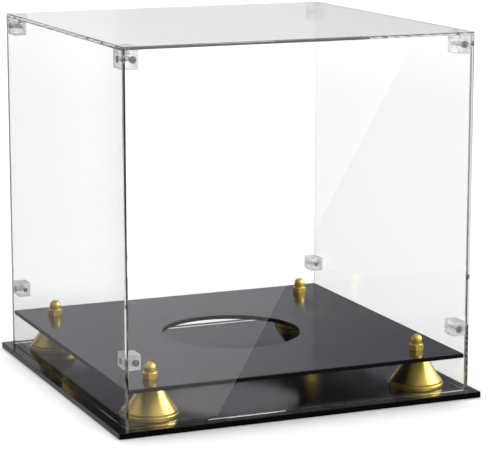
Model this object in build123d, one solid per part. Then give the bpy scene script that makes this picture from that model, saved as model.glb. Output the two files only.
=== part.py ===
from build123d import *
import os

# Display case for a full-size ball. A clear five-panel cover lifts off a black base plate.
# Inside it a black platform, with a round seat for the ball, stands on four gold risers.
# Millimetres. Origin at the centre of the base plate's underside, +Z up, front towards -Y.

# Base plate
base_side = 292.0
base_t = 4.5

# Cover: the side panels run the full depth, the front and back panels fit between them,
# and the top panel lies on all four
cover_side = 277.0
cover_h = 274.5
panel_t = 2.3
seam = 0.05

# Platform
platform_side = 271.6
platform_t = 3.2
seat_d = 110.0

# Risers: turned cones with a flat lip at the foot, one near each corner of the platform
riser_pitch = 218.0
riser_h = 25.4
riser_lip_r = 21.0
riser_lip_h = 2.8
riser_body_r = 19.9
riser_shoulder_z = 5.0
riser_top_r = 8.0
riser_hollowing = 0.7

# M6 x 40 countersunk screws and M6 cap nuts
screw_d = 5.9
screw_l = 40.0
screw_head_d = 12.0
screw_recess = 0.2
screw_socket_af = 4.0
screw_socket_depth = 1.8
clearance_hole_d = 6.6
nut_af = 10.5
nut_corner_d = 2 * nut_af / 3**0.5
nut_hex_h = 4.2
nut_h = 12.0
nut_dome_r = 4.35
nut_bore_d = 6.0
nut_bore_depth = 9.0

# Clear clips inside the cover, each a block (across, deep, high): corner clips under the top
# panel, edge clips low down on the upright edges
corner_clip = (10.4, 18.0, 14.2)
edge_clip = (10.2, 15.6, 11.2)
edge_clip_z = 47.3
clip_round = 2.4

# Clear push pins: each goes through a panel into a clip, with its head flush outside
pin_d = 3.4
pin_head_d = 5.2
pin_head_t = 1.0
pin_clearance = 0.05
pin_gap = 0.6
long_pin_l = 17.9
long_pin_inset = 5.8
side_pin_inset = 7.6
top_pin_inset = 14.0

# Edge breaks
sheet_ease = 0.25
small_ease = 0.4

platform_z = base_t + riser_h
platform_top = platform_z + platform_t
cover_top = base_t + cover_h
ceiling = cover_top - panel_t
wall_h = cover_h - panel_t - seam
outer = cover_side / 2
inner = outer - panel_t
riser_at = riser_pitch / 2
corner_clip_z = ceiling - corner_clip[2]
side_pin_l = panel_t + long_pin_inset - pin_d / 2 - pin_gap
top_pin_l = panel_t + corner_clip[2] / 2 - pin_d / 2 - pin_gap
pin_levels = (edge_clip_z + edge_clip[2] / 2, corner_clip_z + corner_clip[2] / 2)

corners = {
    "front_left": (-1, -1),
    "front_right": (1, -1),
    "back_left": (-1, 1),
    "back_right": (1, 1),
}

foot = (Align.CENTER, Align.CENTER, Align.MIN)


def sheet(size_x, size_y, size_z, centre):
    """A sawn and polished sheet with its edges just broken."""
    blank = Box(size_x, size_y, size_z)
    return Pos(*centre) * chamfer(blank.edges(), sheet_ease)


def rod(diameter, length, z=0.0):
    return Pos(0, 0, z) * Cylinder(diameter / 2, length, align=foot)


def at_risers(shape):
    return [Pos(sx * riser_at, sy * riser_at, 0) * shape for sx, sy in corners.values()]


def screw_head(spread=0.0):
    """The 90 degree head, its flat face down on z = 0."""
    head_r = screw_head_d / 2 + spread
    neck_r = screw_d / 2
    return Cone(head_r, neck_r, head_r - neck_r, align=foot)


def base_plate():
    plate = sheet(base_side, base_side, base_t, (0, 0, base_t / 2))
    countersink = Pos(0, 0, screw_recess) * screw_head(pin_clearance)
    mouth = rod(screw_head_d + 2 * pin_clearance, screw_recess)
    hole = rod(clearance_hole_d, base_t)
    return plate - at_risers(countersink + mouth + hole)


def platform():
    plate = sheet(platform_side, platform_side, platform_t, (0, 0, platform_z + platform_t / 2))
    seat = rod(seat_d, platform_t, platform_z)
    plate -= seat
    rim = plate.edges().filter_by(GeomType.CIRCLE).group_by(Axis.Z)[-1]
    plate = chamfer(rim, small_ease)
    return plate - at_risers(rod(clearance_hole_d, platform_t, platform_z))


def riser():
    shoulder = (riser_body_r, riser_shoulder_z)
    crown = (riser_top_r, riser_h)
    middle = (
        (shoulder[0] + crown[0]) / 2 - riser_hollowing,
        (shoulder[1] + crown[1]) / 2 - riser_hollowing,
    )
    lip_top = riser_lip_h + small_ease
    outline = Polyline(
        crown,
        (0, riser_h),
        (0, 0),
        (riser_lip_r - small_ease, 0),
        (riser_lip_r, small_ease),
        (riser_lip_r, riser_lip_h),
        (riser_lip_r - small_ease, lip_top),
        (riser_body_r, lip_top),
        shoulder,
    )
    flank = ThreePointArc(shoulder, middle, crown)
    turned = revolve(make_face(Plane.XZ * (outline + flank)), Axis.Z)
    edge = turned.edges().filter_by(GeomType.CIRCLE).sort_by(Axis.Z)[-1]
    turned = fillet(edge, small_ease)
    bored = turned - rod(clearance_hole_d, riser_h)
    return Pos(0, 0, base_t) * bored


def cap_nut():
    hexagon = extrude(RegularPolygon(nut_af / 2, 6, major_radius=False), nut_hex_h)
    blank = rod(nut_corner_d, nut_hex_h)
    turned = chamfer(blank.edges().filter_by(GeomType.CIRCLE), small_ease)
    dome_z = nut_h - nut_dome_r
    dome = rod(2 * nut_dome_r, dome_z) + Pos(0, 0, dome_z) * Sphere(nut_dome_r)
    bore = rod(nut_bore_d, nut_bore_depth)
    mouth = Cone(nut_bore_d / 2 + small_ease, nut_bore_d / 2, small_ease, align=foot)
    return Pos(0, 0, platform_top) * ((hexagon & turned) + dome - bore - mouth)


def riser_screw():
    shank = chamfer(rod(screw_d, screw_l).edges().sort_by(Axis.Z)[-1], small_ease)
    socket = extrude(RegularPolygon(screw_socket_af / 2, 6, major_radius=False), screw_socket_depth)
    return Pos(0, 0, screw_recess) * (shank + screw_head() - socket)


def pin(length):
    """A push pin along +Z with its head's flat face on z = 0."""
    shaft = chamfer(rod(pin_d, length).edges().sort_by(Axis.Z)[-1], small_ease)
    return rod(pin_head_d, pin_head_t) + shaft


def pin_hole(length):
    grow = 2 * pin_clearance
    recess = rod(pin_head_d + grow, pin_head_t + pin_clearance)
    return recess + rod(pin_d + grow, length + pin_clearance)


def front_pins(make):
    """Long pins, through the front panel and front to back in the clips."""
    x = inner - long_pin_inset
    plane = Plane(origin=(0, -outer, 0), x_dir=(1, 0, 0), z_dir=(0, 1, 0))
    return [plane * Pos(sx * x, -z, 0) * make(long_pin_l) for sx in (-1, 1) for z in pin_levels]


def left_pins(make):
    """Short pins, through the left panel and stopping just before the long ones."""
    y = inner - side_pin_inset
    plane = Plane(origin=(-outer, 0, 0), x_dir=(0, 1, 0), z_dir=(1, 0, 0))
    return [plane * Pos(sy * y, z, 0) * make(side_pin_l) for sy in (-1, 1) for z in pin_levels]


def top_pins(make):
    """Short pins, down through the top panel into the corner clips."""
    x = inner - long_pin_inset
    y = inner - top_pin_inset
    plane = Plane(origin=(0, 0, cover_top), x_dir=(1, 0, 0), z_dir=(0, 0, -1))
    return [plane * Pos(sx * x, sy * y, 0) * make(top_pin_l) for sx in (-1, 1) for sy in (-1, 1)]


def clip(size, z):
    """The clip of the front left corner, a seam's width off the panels."""
    block = Box(*[s - seam for s in size], align=(Align.MIN, Align.MIN, Align.MIN))
    block = Pos(seam - inner, seam - inner, z) * block
    inside = block.edges().filter_by(Axis.Z).sort_by(lambda e: e.center().X + e.center().Y)[-1]
    block = fillet(inside, clip_round)
    low_rim = block.edges().group_by(Axis.Z)[0]
    block = chamfer(low_rim, small_ease)
    return block - front_pins(pin_hole) - left_pins(pin_hole) - top_pins(pin_hole)


def across(shape):
    """The same shape on the other side, left to right."""
    return mirror(shape, about=Plane.YZ)


def behind(shape):
    """The same shape on the other side, front to back."""
    return mirror(shape, about=Plane.XZ)


def in_corner(shape, sx, sy):
    placed = shape if sx < 0 else across(shape)
    return placed if sy < 0 else behind(placed)


def front_panel():
    centre = (0, -outer + panel_t / 2, base_t + wall_h / 2)
    return sheet(2 * (inner - seam), panel_t, wall_h, centre) - front_pins(pin_hole)


def left_panel():
    centre = (-outer + panel_t / 2, 0, base_t + wall_h / 2)
    return sheet(panel_t, cover_side, wall_h, centre) - left_pins(pin_hole)


def top_panel():
    centre = (0, 0, cover_top - panel_t / 2)
    return sheet(cover_side, cover_side, panel_t, centre) - top_pins(pin_hole)


def case_parts():
    parts = {
        "base_plate": base_plate(),
        "platform": platform(),
        "front_panel": front_panel(),
        "back_panel": behind(front_panel()),
        "left_panel": left_panel(),
        "right_panel": across(left_panel()),
        "top_panel": top_panel(),
        "front_push_pins": Compound(children=front_pins(pin)),
        "back_push_pins": Compound(children=[behind(p) for p in front_pins(pin)]),
        "left_push_pins": Compound(children=left_pins(pin)),
        "right_push_pins": Compound(children=[across(p) for p in left_pins(pin)]),
        "top_push_pins": Compound(children=top_pins(pin)),
    }
    upright = {"riser": riser(), "riser_screw": riser_screw(), "cap_nut": cap_nut()}
    clips = {"corner_clip": clip(corner_clip, corner_clip_z), "edge_clip": clip(edge_clip, edge_clip_z)}
    for corner, (sx, sy) in corners.items():
        for name, shape in upright.items():
            parts[name + "_" + corner] = Pos(sx * riser_at, sy * riser_at, 0) * shape
        for name, shape in clips.items():
            parts[name + "_" + corner] = in_corner(shape, sx, sy)
    return parts


os.makedirs("parts", exist_ok=True)
for node, shape in case_parts().items():
    export_step(shape, "parts/" + node + ".step")
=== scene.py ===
import math

import bpy
from mathutils import Matrix, Vector


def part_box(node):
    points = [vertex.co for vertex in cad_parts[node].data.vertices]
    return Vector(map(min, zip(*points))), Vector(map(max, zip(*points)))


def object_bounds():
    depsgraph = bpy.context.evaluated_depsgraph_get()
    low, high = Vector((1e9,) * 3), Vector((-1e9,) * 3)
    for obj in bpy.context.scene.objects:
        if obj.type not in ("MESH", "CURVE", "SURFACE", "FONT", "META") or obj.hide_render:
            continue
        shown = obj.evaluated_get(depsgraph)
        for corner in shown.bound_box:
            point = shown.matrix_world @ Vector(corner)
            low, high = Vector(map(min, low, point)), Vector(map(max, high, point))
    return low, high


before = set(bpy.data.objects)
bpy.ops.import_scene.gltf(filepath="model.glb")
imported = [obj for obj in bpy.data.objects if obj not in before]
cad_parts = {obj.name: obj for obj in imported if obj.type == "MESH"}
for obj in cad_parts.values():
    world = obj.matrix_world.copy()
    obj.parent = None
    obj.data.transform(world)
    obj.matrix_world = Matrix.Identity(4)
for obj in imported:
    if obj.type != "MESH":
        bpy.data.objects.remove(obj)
cad_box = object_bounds()

# Metres, in the frame of the CAD: origin at the centre of the base plate's underside, front towards
# -Y. Azimuths are in degrees from the front, positive towards +X. Elevations are above the floor.
# A pair is the two ends of a span, or the levels at the two ends of one.

UNIT = (0.0, 1.0)

# Camera, with the lens and the sensor in millimetres
VIEW_AZIMUTH = -22.86
VIEW_ELEVATION = 10.98
VIEW_DISTANCE = 1.6907
VIEW_TARGET = Vector((0.0116, 0.0, 0.1156))
LENS = 157.78
SENSOR = 36.0

# Refraction
ACRYLIC_IOR = 1.49
PIN_IOR = 1.55

# Bounces that a ray may make: enough to run through a panel from edge to edge
SHINY_BOUNCES = 96
CLEAR_BOUNCES = 64

# Floor. Its colour gets lighter far behind and to the left, as painted light from the left, over
# these slopes to the side of the camera's axis and these distances beyond VIEW_DISTANCE.
FLOOR_SIZE = 16.0
FLOOR_GAP = 0.0002
FLOOR_LEVEL = 0.76
FLOOR_LEVEL_PAINTED_LIGHT = 0.94
FAR_LEFT_SLOPES = (-0.075, -0.045)
FAR_LEFT_DISTANCES = (0.15, 0.3)

# The white room, as the camera sees it
ROOM_LEVEL = 1.17

# The room in reflections. Its spans are cosines of the ray: depth to the camera's heading, side to
# the camera's right and height to +Z. Above the horizon are two sweeps of greys, one behind the
# object and one on the camera's side, with stops from the left (0) to the right (1).
SWEEP_BEHIND = [
    (0.0, (0.22, 0.205, 0.18)),
    (0.1, (0.185, 0.17, 0.15)),
    (0.2, (0.06, 0.055, 0.05)),
    (0.36, (0.06, 0.06, 0.06)),
    (0.42, (0.66, 0.66, 0.69)),
    (0.45, (0.62, 0.62, 0.66)),
    (0.5, (0.45, 0.455, 0.49)),
    (0.55, (0.25, 0.256, 0.29)),
    (0.75, (0.16, 0.166, 0.20)),
    (1.0, (0.3, 0.3, 0.3)),
]
SWEEP_IN_FRONT = [
    (0.0, (0.29, 0.27, 0.24)),
    (0.25, (0.11, 0.10, 0.09)),
    (0.43, (0.23, 0.22, 0.20)),
    (0.6, (0.42, 0.41, 0.39)),
    (0.76, (0.85, 0.84, 0.8)),
    (0.85, (1.2, 1.2, 1.15)),
    (1.0, (0.8, 0.8, 0.8)),
]
FRONT_TO_BEHIND_DEPTHS = (-0.2, 0.2)

# A light band lies under the sweep behind, and fades out between these elevations
BAND = [(0.45, (0.8, 0.8, 0.8)), (0.56, (0.72, 0.72, 0.72))]
BAND_TOP_ELEVATIONS = (8, 11.5)

# The horizon is a blur, and lies lower on the camera's side. Below it is dark, with a spot straight
# ahead of the camera and a glimpse of light for edges that face left. Both are cones, with an outer
# and an inner half-angle in degrees.
HORIZON_HEIGHTS = (-0.02, 0.02)
HORIZON_DROP_IN_FRONT = 0.115
SPOT_CONE = (16, 12)
SPOT_LEVELS = (0.04, 0.35)
GLIMPSE_CONE = (20, 14)
GLIMPSE_LEVELS = (0.0, 0.12)
BELOW_BLUENESS = 1.09

# Shiny bounces after which a ray counts as trapped in a clear sheet. Where it points away from the
# camera, it gets a share of the sweep that depends on how far it points to the side.
TRAPPED_BOUNCES = 4
TRAPPED_SIDES = (-0.0605, -0.0565)
TRAPPED_SHARES = (1.0, 0.12)
TRAPPED_DEPTHS = (0.0, 0.3)

# Shiny bounces after which a ray counts as run through a panel from edge to edge. Where it comes
# out towards the left it sees light, and elsewhere dark: this draws lines on the upright edges.
PIPED_BOUNCES = 24
PIPED_SIDES = (-0.5, -0.3)
PIPED_LEVELS = (0.8, 0.03)

# The card that reflects in the front panel. The edge of its reflection slants between these two
# places, at the top and at the foot of the panel.
STREAK_TOP_X = 0.0895
STREAK_FOOT_X = -0.0715
CARD_DISTANCE = 2.5
CARD_WIDTH = 1.2
CARD_LENGTH = 1.6
CARD_RADIANCE = 1.16

# The sun that only the floor gets
SUN_AZIMUTH = 155
SUN_ELEVATION = 49
SUN_SPREAD = 35
SUN_STRENGTH = 1.85

WARM = (1.0, 0.99, 0.95)
GOLD = (0.96, 0.71, 0.12, 1)
BLACK = (0, 0, 0, 1)

# Size of the rings that turning leaves on the gold pieces
RINGS_PER_METRE = 9000.0
RING_DEPTH = 0.00004


def sine(degrees):
    return math.sin(math.radians(degrees))


def cosine(degrees):
    return math.cos(math.radians(degrees))


def direction(azimuth, elevation):
    """The unit vector from the object towards that azimuth and elevation."""
    outward = cosine(elevation)
    return Vector((sine(azimuth) * outward, -cosine(azimuth) * outward, sine(elevation)))


low, high = cad_box
centre = (low + high) / 2
riser_centre = sum(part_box("riser_front_right"), Vector()) / 2

towards_camera = direction(VIEW_AZIMUTH, VIEW_ELEVATION)
eye = VIEW_TARGET + towards_camera * VIEW_DISTANCE
ahead = -Vector((towards_camera.x, towards_camera.y, 0)).normalized()
right = Vector((ahead.y, -ahead.x, 0))
# Where the camera looks by way of an edge that faces left
by_left_edges = Vector((towards_camera.x, -towards_camera.y, -towards_camera.z))


# Node building

class Graph:
    """A node tree under construction. Inputs are values, or other nodes' output sockets."""

    def __init__(self, tree):
        self.tree = tree
        tree.nodes.clear()

    def add(self, kind, inputs=None, **settings):
        node = self.tree.nodes.new("ShaderNode" + kind)
        for name, value in settings.items():
            setattr(node, name, value)
        for key, value in (inputs or {}).items():
            if isinstance(value, bpy.types.NodeSocket):
                self.tree.links.new(value, node.inputs[key])
            else:
                node.inputs[key].default_value = value
        return node

    def shader(self, kind, inputs=None):
        return self.add(kind, inputs).outputs[0]

    def mix(self, share, first, second):
        """A shader that is that share second, and first for the rest."""
        return self.shader("MixShader", {0: share, 1: first, 2: second})

    def math(self, operation, *values, clamp=False):
        node = self.add("Math", dict(enumerate(values)), operation=operation, use_clamp=clamp)
        return node.outputs[0]

    def vector(self, operation, *values):
        node = self.add("VectorMath", dict(enumerate(values)), operation=operation)
        return node.outputs["Value" if operation == "DOT_PRODUCT" else "Vector"]

    def remap(self, value, span, levels, smooth=False):
        """The first level up to the start of the span, the second one from its end."""
        keys = {"Value": value, "From Min": span[0], "From Max": span[1],
                "To Min": levels[0], "To Max": levels[1]}
        kind = "SMOOTHSTEP" if smooth else "LINEAR"
        return self.add("MapRange", keys, interpolation_type=kind).outputs["Result"]

    def blend(self, share, first, second):
        """A colour that goes from first to second. Sockets 6, 7 and 2 are a Mix node's colours."""
        return self.add("Mix", {0: share, 6: first, 7: second}, data_type="RGBA").outputs[2]

    def join(self, *values):
        """Three values as one colour or place."""
        return self.add("CombineXYZ", dict(enumerate(values))).outputs[0]

    def noise(self, where, scale, detail):
        keys = {"Vector": where, "Scale": scale, "Detail": detail, "Roughness": 0.55}
        return self.add("TexNoise", keys).outputs["Fac"]

    def bump(self, height, strength, distance):
        keys = {"Height": height, "Strength": strength, "Distance": distance}
        return self.add("Bump", keys).outputs[0]

    def ramp(self, value, stops):
        node = self.add("ValToRGB", {"Fac": value})
        made = node.color_ramp.elements
        while len(made) < len(stops):
            made.new(0.5)
        for element, (place, level) in zip(made, stops):
            element.position = place
            element.color = (*level, 1.0)
        return node.outputs["Color"]

    def place(self):
        return self.add("TexCoord").outputs["Object"]

    def finish(self, shader):
        kind = "World" if shader.node.type == "BACKGROUND" else "Material"
        output = self.add("Output" + kind)
        self.tree.links.new(shader, output.inputs["Surface"])


def new_material(name):
    made = bpy.data.materials.new(name)
    made.use_nodes = True
    return made, Graph(made.node_tree)


# Materials

def black_acrylic():
    """Polished black sheet: a faint haze in the gloss and hairlines from wiping."""
    made, g = new_material("black_acrylic_sheet")
    place = g.place()
    haze = g.noise(place, scale=38.0, detail=5.0)
    stretched = g.add("Mapping", {"Vector": place, "Scale": (3.0, 420.0, 3.0)}).outputs[0]
    wiped = g.remap(g.noise(stretched, scale=6.0, detail=2.0), (0.62, 0.8), UNIT)
    gloss = g.remap(haze, (0.3, 0.7), (0.115, 0.155))
    hazed = g.remap(haze, (0.35, 0.65), UNIT)
    wave = g.noise(place, scale=9.0, detail=1.0)
    g.finish(g.shader("BsdfPrincipled", {
        "Base Color": g.blend(hazed, (0.0008, 0.0008, 0.001, 1), (0.0016, 0.0016, 0.0018, 1)),
        "Roughness": g.math("ADD", gloss, g.math("MULTIPLY", wiped, 0.03)),
        "IOR": ACRYLIC_IOR,
        "Normal": g.bump(wave, strength=0.02, distance=0.002),
    }))
    return made


def clear_plastic(name, ior, tint, roughness, wave, milk=0.0, ghost=0.0):
    """Clear plastic that lets lamplight through, with a slight waviness in its surface.

    Milk is its share of white scattering, ghost the share of light that goes straight through.
    """
    made, g = new_material(name)
    place = g.place()
    smudge = g.noise(place, scale=22.0, detail=3.0)
    normal = g.bump(g.noise(place, scale=14.0, detail=1.0), strength=wave, distance=0.001)
    body = g.shader("BsdfPrincipled", {
        "Base Color": tint, "Transmission Weight": 1.0, "IOR": ior,
        "Roughness": g.remap(smudge, (0.45, 0.75), roughness),
        "Normal": normal,
    })
    if milk:
        white = {"Color": (0.95, 0.95, 0.95, 1), "Normal": normal}
        cloudy = g.mix(0.5, g.shader("BsdfTranslucent", white), g.shader("BsdfDiffuse", white))
        clouds = g.noise(place, scale=120.0, detail=2.0)
        share = g.remap(clouds, (0.3, 0.7), (milk * 0.8, milk * 1.2))
        body = g.mix(share, body, cloudy)
    through = g.shader("BsdfTransparent", {"Color": tint})
    if ghost:
        body = g.mix(ghost, body, through)
    g.finish(g.mix(g.add("LightPath").outputs["Is Shadow Ray"], body, through))
    return made


def satin_metal(name, light, deep, roughness, ring_strength):
    """Turned gold metal: fine rings round the axis, and a little unevenness in its satin finish."""
    made, g = new_material(name)
    place = g.place()
    axes = g.add("SeparateXYZ", {0: place}).outputs
    # The four corners are mirror images, so the absolute values bring each onto the same axis
    x = g.math("SUBTRACT", g.math("ABSOLUTE", axes[0]), riser_centre.x)
    y = g.math("SUBTRACT", g.math("ABSOLUTE", axes[1]), riser_centre.y)
    radius = g.math("SQRT", g.math("ADD", g.math("MULTIPLY", x, x), g.math("MULTIPLY", y, y)))
    along = g.math("SUBTRACT", g.math("MULTIPLY", axes[2], 0.5), radius)
    counted = g.math("MULTIPLY", along, RINGS_PER_METRE)
    rings = g.noise(g.join(counted, 0.0, 0.0), scale=1.0, detail=2.0)
    cloud = g.noise(place, scale=160.0, detail=4.0)
    uneven = g.math("ADD", cloud, g.math("MULTIPLY", rings, 0.5))
    g.finish(g.shader("BsdfPrincipled", {
        "Base Color": g.blend(g.remap(cloud, (0.3, 0.7), UNIT), deep, light),
        "Metallic": 1.0,
        "Roughness": g.remap(uneven, (0.5, 1.0), (roughness - 0.03, roughness + 0.04)),
        "Normal": g.bump(rings, ring_strength, RING_DEPTH),
        "Coat Weight": 1.0, "Coat Roughness": 0.25, "Coat IOR": 1.7,
    }))
    return made


def zinc():
    """Zinc plate with its spangled, slightly blue and yellow bloom."""
    made, g = new_material("zinc_plate")
    cloud = g.noise(g.place(), scale=420.0, detail=5.0)
    bloom = g.remap(cloud, (0.35, 0.65), UNIT)
    g.finish(g.shader("BsdfPrincipled", {
        "Base Color": g.blend(bloom, (0.52, 0.53, 0.55, 1), (0.64, 0.63, 0.60, 1)),
        "Metallic": 1.0,
        "Roughness": g.remap(cloud, (0.3, 0.7), (0.22, 0.36)),
        "Normal": g.bump(cloud, strength=0.2, distance=0.00005),
    }))
    return made


def dress():
    """Gives every CAD node the material of the slot that the record puts it in."""
    looks = {
        "black_acrylic": black_acrylic(),
        "clear_acrylic": clear_plastic(
            "clear_acrylic_sheet", ACRYLIC_IOR, tint=(0.992, 0.995, 0.994, 1),
            roughness=(0.0, 0.0), wave=0.01),
        "clear_clip": clear_plastic(
            "clear_clip_plastic", ACRYLIC_IOR, tint=(0.985, 0.988, 0.988, 1),
            roughness=(0.03, 0.08), wave=0.05, milk=0.35, ghost=0.25),
        # The pins' dark grey tint is painted shade: it stands in for the dark that their shafts
        # refract.
        "clear_pin": clear_plastic(
            "clear_pin_plastic", PIN_IOR, tint=(0.3, 0.3, 0.3, 1),
            roughness=(0.04, 0.1), wave=0.05, milk=0.08),
        "gold_riser": satin_metal(
            "satin_gold_riser", light=GOLD, deep=(0.91, 0.65, 0.09, 1),
            roughness=0.3, ring_strength=0.1),
        "gold_nut": satin_metal(
            "satin_gold_nut", light=GOLD, deep=(0.93, 0.67, 0.10, 1),
            roughness=0.42, ring_strength=0.02),
        "zinc_screw": zinc(),
    }
    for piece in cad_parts.values():
        for slot in piece.material_slots:
            slot.material = looks[slot.material.name]


# Studio

def put(name, data):
    """A new object in the scene."""
    made = bpy.data.objects.new(name, data)
    bpy.context.scene.collection.objects.link(made)
    return made


def collection(name, pieces):
    made = bpy.data.collections.new(name)
    for piece in pieces:
        made.objects.link(piece)
    return made


def turned_to(vector):
    """The turn that points a lamp's or a camera's back along the vector."""
    return vector.to_track_quat("Z", "Y").to_euler()


def floor():
    """A pale floor, with painted light in its colour far behind and to the left. Shadow rays pass
    it, and so do rays that have bounced off something shiny.
    """
    mesh = bpy.data.meshes.new("studio_floor")
    half, z = FLOOR_SIZE / 2, low.z - FLOOR_GAP
    corners = [(-half, -half, z), (half, -half, z), (half, half, z), (-half, half, z)]
    mesh.from_pydata(corners, [], [(0, 1, 2, 3)])
    made, g = new_material("studio_floor")
    mesh.materials.append(made)
    from_eye = g.vector("SUBTRACT", g.place(), eye)
    away = g.vector("DOT_PRODUCT", from_eye, ahead)
    slope = g.math("DIVIDE", g.vector("DOT_PRODUCT", from_eye, right), away)
    # Painted light: the floor's colour gets lighter far behind and to the left, in place of light
    # from that side.
    leftness = g.remap(slope, FAR_LEFT_SLOPES, (1.0, 0.0), smooth=True)
    distances = [VIEW_DISTANCE + distance for distance in FAR_LEFT_DISTANCES]
    behind = g.remap(away, distances, UNIT, smooth=True)
    painted_light_far_left = g.math("MULTIPLY", leftness, behind)
    level = g.remap(painted_light_far_left, UNIT, (FLOOR_LEVEL, FLOOR_LEVEL_PAINTED_LIGHT))
    paper = g.shader("BsdfDiffuse", {"Color": g.join(level, level, level)})
    path = g.add("LightPath").outputs
    bounced = g.math("GREATER_THAN", path["Glossy Depth"], 0)
    passes = g.math("ADD", bounced, path["Is Shadow Ray"], clamp=True)
    g.finish(g.mix(passes, paper, g.shader("BsdfTransparent")))
    plane = put("studio_floor", mesh)
    return plane


def above_horizon(g, depth, side, height, trapped):
    """The sweeps of greys, with the light band under the one behind."""
    across = g.remap(side, (-1.0, 1.0), UNIT)
    band_top = [sine(angle) for angle in BAND_TOP_ELEVATIONS]
    in_band = g.remap(height, band_top, (1.0, 0.0), smooth=True)
    behind = g.blend(in_band, g.ramp(across, SWEEP_BEHIND), g.ramp(across, BAND))
    in_front = g.ramp(across, SWEEP_IN_FRONT)
    sweeps = g.blend(g.remap(depth, FRONT_TO_BEHIND_DEPTHS, UNIT, smooth=True), in_front, behind)
    share = g.remap(side, TRAPPED_SIDES, TRAPPED_SHARES)
    left_over = g.remap(trapped, UNIT, (1.0, share))
    return g.blend(g.remap(depth, TRAPPED_DEPTHS, (1.0, left_over)), BLACK, sweeps)


def below_horizon(g, ray):
    """Dark, with the spot and the glimpse of light."""
    def cone(axis, angles, levels):
        cosines = [cosine(angle) for angle in angles]
        return g.remap(g.vector("DOT_PRODUCT", ray, axis), cosines, levels, smooth=True)

    spot = cone(-towards_camera, SPOT_CONE, SPOT_LEVELS)
    glimpse = cone(by_left_edges, GLIMPSE_CONE, GLIMPSE_LEVELS)
    level = g.math("ADD", spot, glimpse)
    return g.join(level, level, g.math("MULTIPLY", level, BELOW_BLUENESS))


def room():
    """An even white room, except in reflections."""
    world = bpy.data.worlds.new("studio")
    bpy.context.scene.world = world
    world.use_nodes = True
    world.cycles.sampling_method = "NONE"
    g = Graph(world.node_tree)
    ray = g.add("TexCoord").outputs["Generated"]
    depth = g.vector("DOT_PRODUCT", ray, ahead)
    side = g.vector("DOT_PRODUCT", ray, right)
    height = g.add("SeparateXYZ", {0: ray}).outputs[2]
    shiny = g.add("LightPath").outputs["Glossy Depth"]
    bounced = g.math("GREATER_THAN", shiny, 0)
    trapped = g.math("GREATER_THAN", shiny, TRAPPED_BOUNCES)
    piped = g.math("GREATER_THAN", shiny, PIPED_BOUNCES)

    drop = g.remap(depth, FRONT_TO_BEHIND_DEPTHS, (HORIZON_DROP_IN_FRONT, 0.0), smooth=True)
    over_horizon = g.remap(g.math("ADD", height, drop), HORIZON_HEIGHTS, UNIT, smooth=True)
    above = above_horizon(g, depth, side, height, trapped)
    reflected = g.blend(over_horizon, below_horizon(g, ray), above)

    line = g.remap(side, PIPED_SIDES, PIPED_LEVELS)
    reflected = g.blend(piped, reflected, g.join(line, line, line))
    seen = g.blend(bounced, (ROOM_LEVEL, ROOM_LEVEL, ROOM_LEVEL, 1), reflected)
    g.finish(g.shader("Background", {"Color": seen}))


def softbox(name, place, facing, width, height, radiance, only, shade=None, colour=(1, 1, 1)):
    """A rectangular lamp. Facing is the direction back along its beam.

    Only lists the pieces that it lights, and shade the pieces that can stand in its way.
    """
    lamp = bpy.data.lights.new(name, "AREA")
    lamp.shape = "RECTANGLE"
    lamp.size, lamp.size_y = width, height
    lamp.energy = radiance * math.pi * width * height
    lamp.color = colour
    holder = put(name, lamp)
    holder.location = place
    holder.rotation_euler = turned_to(facing)
    holder.visible_camera = False
    holder.visible_transmission = False
    holder.light_linking.receiver_collection = collection(name + "_lights", only)
    if shade:
        holder.light_linking.blocker_collection = collection(name + "_shade", shade)
        lamp.cycles.use_multiple_importance_sampling = False
    return holder


def around(name, away, distance, **options):
    """A softbox in that direction from the middle of the object."""
    softbox(name, centre + away * distance, away, **options)


def streak_card():
    """The card whose straight edge shows as a slanting line in the front panel."""
    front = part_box("left_panel")[0].y
    top = Vector((STREAK_TOP_X, front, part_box("right_panel")[1].z))
    foot = Vector((STREAK_FOOT_X, front, low.z))
    mirrored_eye = Vector((eye.x, 2 * front - eye.y, eye.z))

    def on_card(point):
        ray = point - mirrored_eye
        return mirrored_eye + ray * ((-CARD_DISTANCE - mirrored_eye.y) / ray.y)

    upper, lower = on_card(top), on_card(foot)
    along = (upper - lower).normalized()
    beam_back = Vector((0, -1, 0))
    inward = beam_back.cross(along)
    middle = (upper + lower) / 2 + inward * CARD_WIDTH / 2
    card = softbox("streak_card", middle, beam_back, CARD_WIDTH, CARD_LENGTH, CARD_RADIANCE,
                   only=[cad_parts["front_panel"]])
    turn = Matrix((-inward, along, beam_back)).transposed()
    card.rotation_euler = turn.to_euler()


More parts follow.
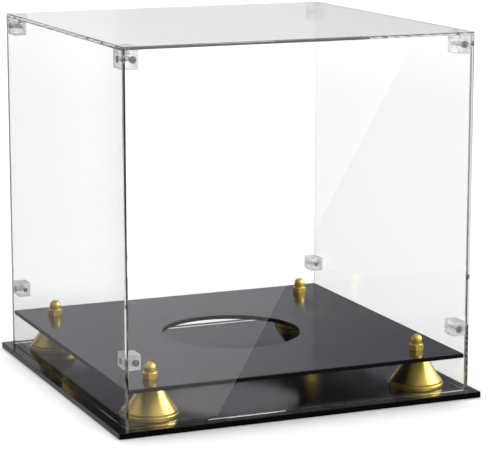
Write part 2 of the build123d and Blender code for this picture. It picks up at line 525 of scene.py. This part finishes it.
def low_sun(ground):
    """A wide soft light from behind, for the floor. It draws the shadow in front of the base."""
    sun = bpy.data.lights.new("floor_light", "SUN")
    sun.angle = math.radians(SUN_SPREAD)
    sun.energy = SUN_STRENGTH
    holder = put("floor_light", sun)
    holder.rotation_euler = turned_to(direction(SUN_AZIMUTH, SUN_ELEVATION))
    holder.light_linking.receiver_collection = collection("floor_light_lights", [ground])


def lamps(ground):
    """The lamps. None of the softboxes lights the floor."""
    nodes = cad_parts
    gold = [piece for name, piece in nodes.items()
            if name.startswith(("riser_", "cap_nut_")) and "screw" not in name]
    left_gold = [piece for piece in gold if piece.name.endswith("_left")]
    others = [piece for piece in nodes.values() if piece not in gold]
    sheets = [nodes["base_plate"], nodes["platform"]]
    around("key_softbox", direction(78, 28), distance=1.8, width=1.5, height=1.1,
           radiance=5.0, colour=WARM, only=others)
    around("gold_softbox", direction(74, 24), distance=1.8, width=1.4, height=1.1,
           radiance=5.1, colour=WARM, only=gold, shade=gold)
    around("gold_fill", direction(-25, 45), distance=1.5, width=1.6, height=1.2,
           radiance=0.09, colour=WARM, only=gold, shade=gold)
    around("left_fill", direction(-115, 45), distance=1.5, width=1.5, height=1.2,
           radiance=0.22, colour=WARM, only=left_gold, shade=gold)
    around("top_softbox", direction(0, 88), distance=2.0, width=1.4, height=1.4,
           radiance=0.8, only=others + gold)
    around("edge_card", by_left_edges, distance=1.5, width=0.8, height=0.8,
           radiance=0.22, only=sheets)
    low_sun(ground)
    streak_card()


def camera():
    lens = bpy.data.cameras.new("camera")
    lens.lens = LENS
    lens.sensor_width = SENSOR
    holder = put("camera", lens)
    holder.location = eye
    holder.rotation_euler = turned_to(towards_camera)
    bpy.context.scene.camera = holder


def render_look():
    scene = bpy.context.scene
    scene.view_settings.view_transform = "Standard"
    scene.cycles.max_bounces = SHINY_BOUNCES
    scene.cycles.glossy_bounces = SHINY_BOUNCES
    scene.cycles.transmission_bounces = CLEAR_BOUNCES
    scene.cycles.transparent_max_bounces = CLEAR_BOUNCES


dress()
ground = floor()
room()
lamps(ground)
camera()
render_look()
